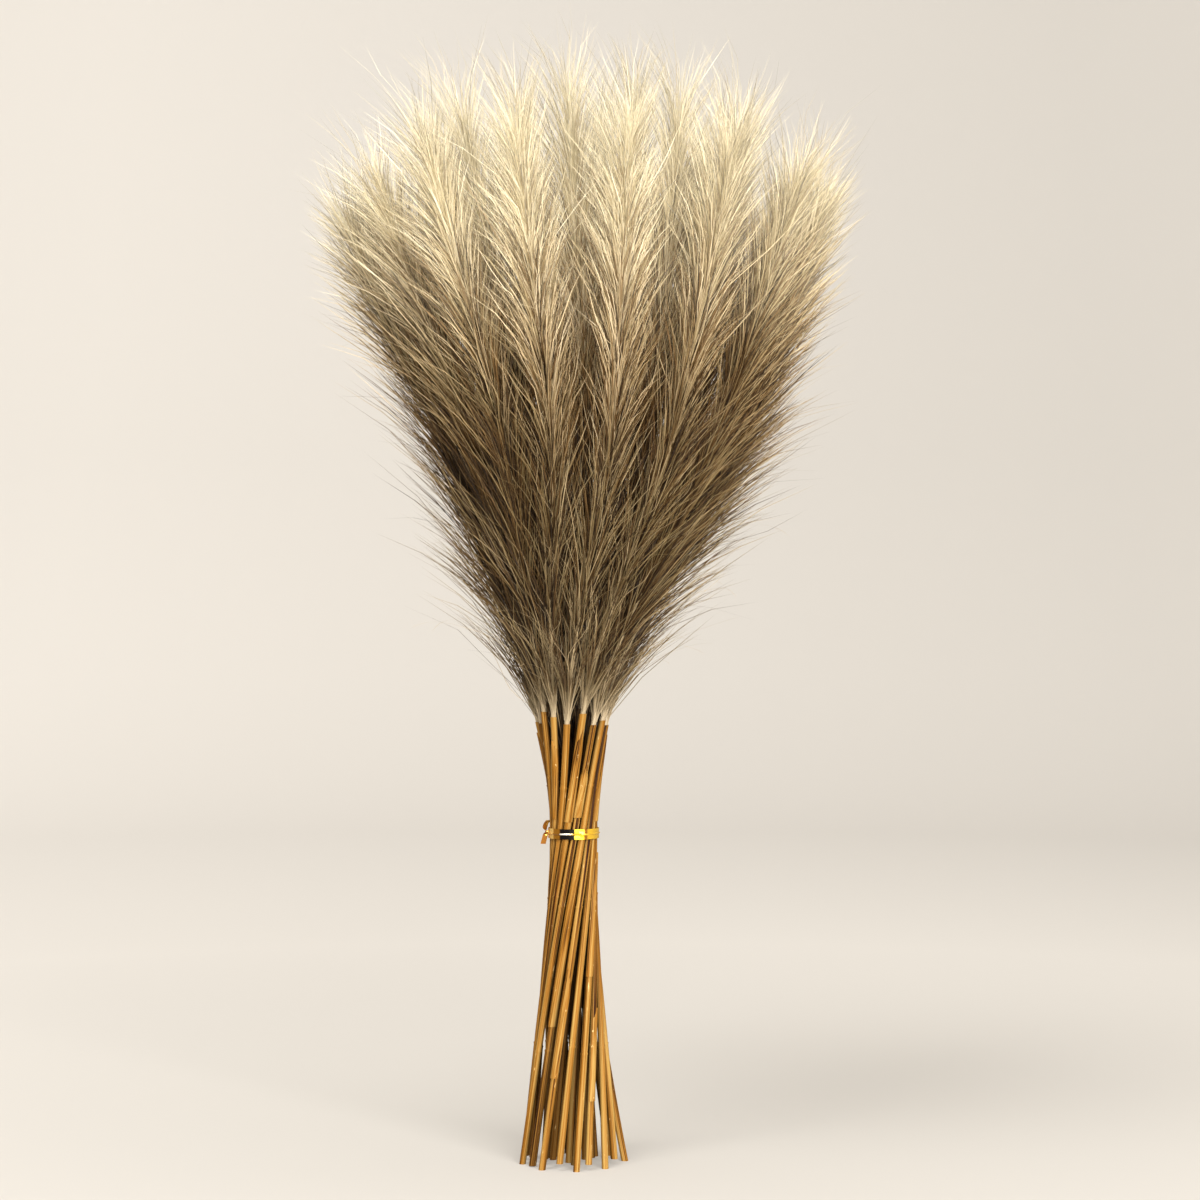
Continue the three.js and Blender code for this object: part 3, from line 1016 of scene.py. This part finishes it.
def painted_shade_at(points, tone):
    """The painted light at a place in the head, and how far it stands free at the head's edge.

    Painted shade darkens hair deep within the head low down, and hair on the sides of the head, more on
    the left; it eases where hair stands free at the edge.
    """
    z = points[:, 2]
    x = points[:, 0] - sheaf_lean(z)
    radius = np.hypot(x, points[:, 1])
    edge = sheaf_radius(z)
    # Painted shade for hair deep within the head, faded out higher up.
    depth = np.minimum(INNER_DEPTH, INNER_SHARE * edge)
    within = (edge - radius - OPEN_DEPTH) / (depth - OPEN_DEPTH)
    painted_inner_shade = smoothstep(within, 0, 1) * (1 - smoothstep(tone, *SHUT_TONES))
    # Painted shade on the sides of the head: deeper on the left, reaching higher on the right, eased
    # where hair stands free.
    left = SIDE_SHADE_LEFT * (1 - smoothstep(tone, *SIDE_TONES_LEFT))
    right = SIDE_SHADE_RIGHT * (1 - smoothstep(tone, *SIDE_TONES_RIGHT))
    free = smoothstep(radius / edge, *FREE_FROM)
    aside = smoothstep(np.abs(x) / edge, *SIDE_SHARES) * smoothstep(tone, *SHEATH_TONES)
    side_shade = np.where(x < 0, left, right) * aside * (1 - FREE_EDGE * free)
    light = (1 - (1 - INNER_SHADE) * painted_inner_shade) * (1 - side_shade)
    return light, free * (1 - smoothstep(tone, *SHUT_TONES))


def ring_place(place, roll, sideways, outward, width):
    """Where a vertex of the pattern hair stands off the hair's own middle line."""
    around = math.atan2(place[1], place[0]) + roll
    across = sideways * np.cos(around)[:, None] + outward * np.sin(around)[:, None]
    return across * (math.hypot(place[0], place[1]) * width)[:, None]


def hair_tint(points, tone, level, shade, pale):
    """The tint of each hair at one level of it: painted shade near its root low in the head and painted
    light near its root high up, a pull towards a middle tint where it stands free, and painted shade by
    its place.
    """
    light, free = painted_shade_at(points, tone)
    near_root = 1 - smoothstep(level, 0, ROOT_END)
    # Painted shade at the root low down, and painted light at the root high up.
    tint = shade * (1 - ROOT_PAINTED_SHADE * near_root * (1 - smoothstep(tone, *ROOT_SHADE_TONES)))
    tint += (1 - tint) * ROOT_PAINTED_LIGHT * near_root * smoothstep(tone, *ROOT_LIGHT_TONES)
    tint += (FREE_TINT - tint) * FREE_TINT_SHARE * free
    return (tint + (PALE_TINT - tint) * pale) * light


def draw_hairs(tufts, luck):
    """The hairs of each tuft, with their own luck: length, lift, swing, sway, width and shade.

    The first set is each hair's own line, and the second the tuft's line that it may cling to.
    """
    tuft = {key: np.repeat(value, TUFT_HAIRS, axis=0) for key, value in tufts.items()}
    total = len(tuft["along"])
    loose = luck.uniform(0, 1, total) < LOOSE_SHARE
    swing = luck.normal(0, SWING, total)
    slide = luck.uniform(-SLIDE, SLIDE, total) * tuft["sheath"] + SLIDE_UP
    clump = np.repeat(luck.uniform(0, CLUMP, total // TUFT_HAIRS), TUFT_HAIRS)
    clump = clump * luck.uniform(0.6, 1, total)
    lift = luck.normal(0, np.radians(LIFT), total) * np.where(loose, LOOSE_LIFT, 1)
    lift += np.where(luck.uniform(0, 1, total) < FLYAWAY, np.radians(FLYAWAY_LIFT), 0)
    sway = luck.normal(0, SWAY, (HAIR_RINGS + 1, total, 2))
    width = HAIR_WIDTH * luck.uniform(*HAIR_WIDTHS, total) * np.where(loose, LOOSE_WIDTH, 1)
    width *= 1 - FINER_AT_TOP * smoothstep(tuft["along"], *FINER_ALONG)
    width *= 1 - FINER_BELOW * (1 - smoothstep(tuft["root"][:, 2], *FINER_HEIGHTS))
    shade = luck.beta(*HAIR_SHADES, total)
    shade = shade ** (SHADE_POWER - SHADE_POWER_DROP * smoothstep(tuft["along"], *SHADE_POWER_ALONG))
    mixed = (1 - TUFT_SHADE_SHARE) * shade + TUFT_SHADE_SHARE * tuft["shade"]
    reach = tuft["reach"] * luck.uniform(*HAIR_LENGTHS, total)
    reach *= np.where(luck.uniform(0, 1, total) < FLYAWAY, FLYAWAY_REACH, 1)
    turned = tuft["outward"] * np.cos(swing)[:, None] + tuft["sideways"] * np.sin(swing)[:, None]
    stalk = STALK_RADIUS + (STALK_TIP_RADIUS - STALK_RADIUS) * tuft["along"]
    own = dict(tuft)
    own["outward"] = turned
    own["root"] = tuft["root"] + tuft["forward"] * slide[:, None] + turned * stalk[:, None]
    own["reach"] = reach
    own["root_angle"] = tuft["root_angle"] + 0.5 * lift
    own["tip_angle"] = tuft["tip_angle"] + lift
    own["clump"] = np.where(loose, 0, clump)
    own["sway"] = sway * np.where(loose, LOOSE_SWAY, 1)[None, :, None]
    own["width"] = width
    # Spine hairs take a lighter tint, a painted highlight along the stalk.
    own["shade"] = np.where(tuft["spine"], SPINE_PAINTED_LIGHT + (1 - SPINE_PAINTED_LIGHT) * shade, mixed)
    own["roll"] = luck.uniform(0, TAU, total)
    return own, tuft


def comb_hairs(reed, tufts, pattern, box, luck):
    """Copies of the pattern hair for each tuft of a plume, some drawn together towards its tip."""
    own, tuft = draw_hairs(tufts, luck)
    for _ in range(SHORTEN_ROUNDS):
        tips = run_hair(own, 1)
        outside = np.any((tips < box[0]) | (tips > box[1]), axis=1)
        own["reach"] = np.where(outside, own["reach"] * SHORTEN, own["reach"])
    shared = dict(tuft)
    shared["reach"] = own["reach"]
    places, faces, _, _ = pattern
    middles = {}
    for k, level in enumerate(np.unique(places[:, 2].round(4))):
        pull = (own["clump"] * level**1.5)[:, None]
        middle = run_hair(own, level) * (1 - pull) + run_hair(shared, level) * pull
        bent = own["sway"][k - 1] * level * SWAY_REACH
        middles[level] = middle + tuft["sideways"] * bent[:, :1] + tuft["outward"] * bent[:, 1:]
    vertices = np.empty((len(own["along"]), len(places), 3))
    maps = np.empty((len(own["along"]), len(places), 2))
    start = tuft["root"][:, 2]
    for k, place in enumerate(places):
        level = place[2].round(4)
        off_line = ring_place(place, own["roll"], tuft["sideways"], tuft["outward"], own["width"])
        vertices[:, k] = middles[level] + off_line
        z = vertices[:, k, 2]
        tone = head_tone(start + TONE_CLIMB * (z - start) + TONE_LIFT * level)
        pale = 1 - smoothstep(z - reed.top, *PALE_END) if reed.ring == OUTER_RING else 0
        tint = hair_tint(vertices[:, k], tone, level, own["shade"], pale)
        maps[:, k, 0] = TINT_START + TINT_SPAN * tint + map_round(place)
        maps[:, k, 1] = tone
    return vertices, maps, faces


def map_round(place):
    """A small step in the map round a hair, so that no face of it has an empty map."""
    return MAP_ROUND * math.atan2(place[1], place[0]) / TAU


def curl_strays(reed, pattern, luck):
    """A few long fine hairs that curl away from the lower part of an outer plume."""
    places, faces, _, _ = pattern
    z = luck.uniform(reed.top + STRAY_START, STRAY_TOP, STRAYS)
    angle = reed.angle + sheaf_turn(z) + luck.normal(0, STRAY_TURN_SPREAD, STRAYS)
    forward = reed.directions(z)
    outward = np.stack([np.cos(angle), np.sin(angle), np.zeros(STRAYS)], axis=-1)
    sideways = np.cross(forward, outward)
    length = luck.uniform(*STRAY_LENGTH, STRAYS)
    heading = np.radians(luck.uniform(*STRAY_HEADING, STRAYS))
    bend = np.radians(luck.uniform(*STRAY_BEND, STRAYS))
    starts = luck.uniform(0, TAU, (2, STRAYS))
    roll = luck.uniform(0, TAU, STRAYS)
    vertices = np.empty((STRAYS, len(places), 3))
    maps = np.empty((STRAYS, len(places), 2))
    levels = np.unique(places[:, 2].round(4))
    middle = reed.points(z)
    middles = {}
    for level, stretch in zip(levels, np.diff(levels, prepend=0)):
        turned = heading + bend * level**STRAY_BEND_POWER
        waves = [size * np.sin(start + rate * level) for (size, rate), start in zip(STRAY_WAVES, starts)]
        waved = waves[0] + waves[1]
        way = forward * np.cos(turned)[:, None] + outward * np.sin(turned)[:, None]
        middle = middle + (way + sideways * waved[:, None]) * (length * stretch)[:, None]
        middles[level] = middle
    width = np.full(STRAYS, STRAY_WIDTH)
    for k, place in enumerate(places):
        off_line = ring_place(place, roll, sideways, outward, width)
        vertices[:, k] = middles[place[2].round(4)] + off_line
        maps[:, k, 0] = STRAY_TINT + map_round(place)
        maps[:, k, 1] = STRAY_TONE
    return vertices, maps, faces


def model_stalk():
    """The pattern stalk, upright and one unit long: a thin rod with rings to bend it at."""
    start_shape()
    bpy.ops.mesh.primitive_cone_add(
        vertices=STALK_SIDES,
        radius1=STALK_RADIUS,
        radius2=STALK_TIP_RADIUS,
        depth=1,
        location=(0, 0, 0.5),
    )
    stalk = bpy.context.object
    bpy.ops.object.transform_apply(location=True)
    bpy.ops.object.mode_set(mode="EDIT")
    cut_rings([(k + 1) / (STALK_RINGS + 1) for k in range(STALK_RINGS)])
    bpy.ops.object.mode_set(mode="OBJECT")
    return take_shape(stalk)


def bend_stalk(reed, pattern):
    """A copy of the pattern stalk, sunk into the cane and a little longer than the plume's line."""
    places, faces, _, _ = pattern
    z = reed.top - STALK_SUNK + places[:, 2] * (reed.end + STALK_SUNK + STALK_OVER - reed.top)
    middle = reed.points(z)
    middle[:, :2] += places[:, :2]
    maps = np.stack([STALK_TINT + MAP_ROUND / 2 * places[:, 0], head_tone(z)], -1)
    return middle[None], maps[None], faces


def join_copies(groups):
    """One list of vertices, faces and map corners from groups of copied shapes."""
    all_places, all_faces, all_corners = [], [], []
    offset = 0
    for vertices, maps, faces in groups:
        copies, size, _ = vertices.shape
        all_places.append(vertices.reshape(-1, 3))
        order = np.concatenate([np.array(face) for face in faces])
        all_corners.append(maps[:, order].reshape(-1, 2))
        for copy in range(copies):
            base = offset + copy * size
            all_faces.extend(tuple(base + v for v in face) for face in faces)
        offset += copies * size
    corners = np.clip(np.concatenate(all_corners), MAP_EDGE, 1 - MAP_EDGE)
    return np.concatenate(all_places), all_faces, corners


def plume_hair():
    """Dry coarse hair: its tone follows the height in the head, and each hair's tint holds its own
    random shade with the painted shade and light of its place.
    """
    material, tree, shader = plain_material("plume_hair", roughness=0.5, specular=0.35)
    own_tint, height, _ = split_node(tree, map_node(tree, "OFBake"))
    tone = ramp_node(tree, HAIR_TONES, height)
    tint = ramp_node(tree, HAIR_TINTS, own_tint)
    strength = range_node(tree, height, TINT_FULL_BELOW, TINT_FAINT_ABOVE, 1, TINT_FAINT)
    tree.links.new(mix_node(tree, "MULTIPLY", strength, tone, tint), shader.inputs["Base Color"])
    return material


def make_plumes():
    hair = model_hair(HAIR_RINGS)
    long_hair = model_hair(STRAY_RINGS)
    stalk = model_stalk()
    material = plume_hair()
    low = np.array(cad_box[0]) / MM - GROUND_CENTRE - BOX_MARGIN
    high = np.array(cad_box[1]) / MM - GROUND_CENTRE + BOX_MARGIN
    for reed in reeds:
        luck = np.random.default_rng(HAIR_SEED + reed.index)
        tufts = lay_tufts(reed, luck)
        groups = [comb_hairs(reed, tufts, hair, (low, high), luck), bend_stalk(reed, stalk)]
        if reed.ring == OUTER_RING:
            groups.append(curl_strays(reed, long_hair, luck))
        places, faces, corners = join_copies(groups)
        plume = new_piece(f"feather_{reed.index:02d}", places, faces, "OFBake", corners, [material])
        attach(plume, "root")
        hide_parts(f"plume_{reed.index:02d}")


make_plumes()

# ---- Floor, backdrop and light ----
# A pale sweep of paper that curves up into a wall all round. Its glow is painted light, seen only by
# the camera and giving little light itself: brighter at the left than the right and dimmer on the
# floor near the bundle. Of three soft lights, one stands high at the left, a broad one at the front
# and right, and a faint one low in front.

FLOOR_RADIUS = 1.8
SWEEP_RADIUS = 1.1
WALL_HEIGHT = 1.6
SWEEP_STEPS = 12
PAPER = (160, 157, 152)
PAPER_GLOW = (1, 0.93, 0.84, 1)
PAPER_GLOW_SEEN = 0.446
PAPER_GLOW_GIVEN = 0.12
GLOW_ACROSS = (-0.7, 0.7)
GLOW_LEFT = 1.05
GLOW_RIGHT = 0.74
GLOW_OUTWARD = (0, 0.8)
FLOOR_GLOW = 0.65
WALL_GLOW = 1.15
GLOW_UPWARD = (0.15, 0.45)
WALL_TOP_GLOW = 0.92
ROOM_COLOUR = (1, 0.97, 0.93, 1)
ROOM_STRENGTH = 0.3

start_shape()
bpy.ops.mesh.primitive_circle_add(vertices=96, radius=FLOOR_RADIUS, fill_type="NGON")
sweep = bpy.context.object
sweep.name = "paper_sweep"
bpy.ops.object.mode_set(mode="EDIT")
bpy.ops.mesh.select_mode(type="EDGE")
bpy.ops.mesh.select_all(action="DESELECT")
bpy.ops.mesh.select_non_manifold()
radius = FLOOR_RADIUS
for k in range(SWEEP_STEPS):
    turn = math.pi / 2 * (k + 0.5) / SWEEP_STEPS
    chord = 2 * SWEEP_RADIUS * math.sin(math.pi / 4 / SWEEP_STEPS)
    rise = {"value": (0, 0, chord * math.sin(turn))}
    bpy.ops.mesh.extrude_region_move(TRANSFORM_OT_translate=rise)
    grow = 1 + chord * math.cos(turn) / radius
    radius *= grow
    bpy.ops.transform.resize(value=(grow, grow, 1))
bpy.ops.mesh.extrude_region_move(TRANSFORM_OT_translate={"value": (0, 0, WALL_HEIGHT)})
bpy.ops.object.mode_set(mode="OBJECT")
bpy.ops.object.shade_smooth()
paper, paper_tree, paper_shader = plain_material("sweep_paper", roughness=0.95, specular=0)
paper_shader.inputs["Base Color"].default_value = srgb(*PAPER)
paper_shader.inputs["Emission Color"].default_value = PAPER_GLOW
room = place_node(paper_tree)
across, _, up = split_node(paper_tree, room)
away = paper_tree.nodes.new("ShaderNodeVectorMath")
away.operation = "LENGTH"
feed(paper_tree, away.inputs[0], room)
# Painted light: the glow seen by the camera is graded, brighter at the left, dimmer on the floor near
# the bundle and at the top of the wall.
shares = (PAPER_GLOW_SEEN * GLOW_LEFT, PAPER_GLOW_SEEN * GLOW_RIGHT)
across_glow = range_node(paper_tree, across, *GLOW_ACROSS, *shares)
outward_glow = range_node(paper_tree, away.outputs["Value"], *GLOW_OUTWARD, FLOOR_GLOW, WALL_GLOW)
upward_glow = range_node(paper_tree, up, *GLOW_UPWARD, 1, WALL_TOP_GLOW)
back_glow = math_node(paper_tree, "MULTIPLY", outward_glow, upward_glow)
seen_glow = math_node(paper_tree, "MULTIPLY", across_glow, back_glow)
seen = paper_tree.nodes.new("ShaderNodeLightPath").outputs["Is Camera Ray"]
glow = range_node(paper_tree, seen, 0, 1, PAPER_GLOW_GIVEN, seen_glow)
paper_tree.links.new(glow, paper_shader.inputs["Emission Strength"])
paper.cycles.emission_sampling = "NONE"
sweep.data.materials.append(paper)

LIGHT_AIM = (0, 0, 0.28)
LIGHTS = (
    ("key_light", (-0.88, -1.26, 2.3), 50, 1.2),
    ("front_light", (0.8, -2.2, 0.9), 132, 1.6),
    ("fill_light", (0.1, -2.4, 0.5), 14, 1.6),
)
LIGHT_TINT = (1, 0.98, 0.95)


def soft_light(name, place, power, size):
    data = bpy.data.lights.new(name, "AREA")
    data.energy = power
    data.size = size
    data.color = LIGHT_TINT
    light = bpy.data.objects.new(name, data)
    light.location = place
    toward = Vector(LIGHT_AIM) - Vector(place)
    light.rotation_euler = toward.to_track_quat("-Z", "Y").to_euler()
    bpy.context.scene.collection.objects.link(light)


for each in LIGHTS:
    soft_light(*each)
world = bpy.data.worlds.new("room")
world.use_nodes = True
backdrop = world.node_tree.nodes["Background"]
backdrop.inputs["Color"].default_value = ROOM_COLOUR
backdrop.inputs["Strength"].default_value = ROOM_STRENGTH
bpy.context.scene.world = world
bpy.context.scene.view_settings.view_transform = "Standard"
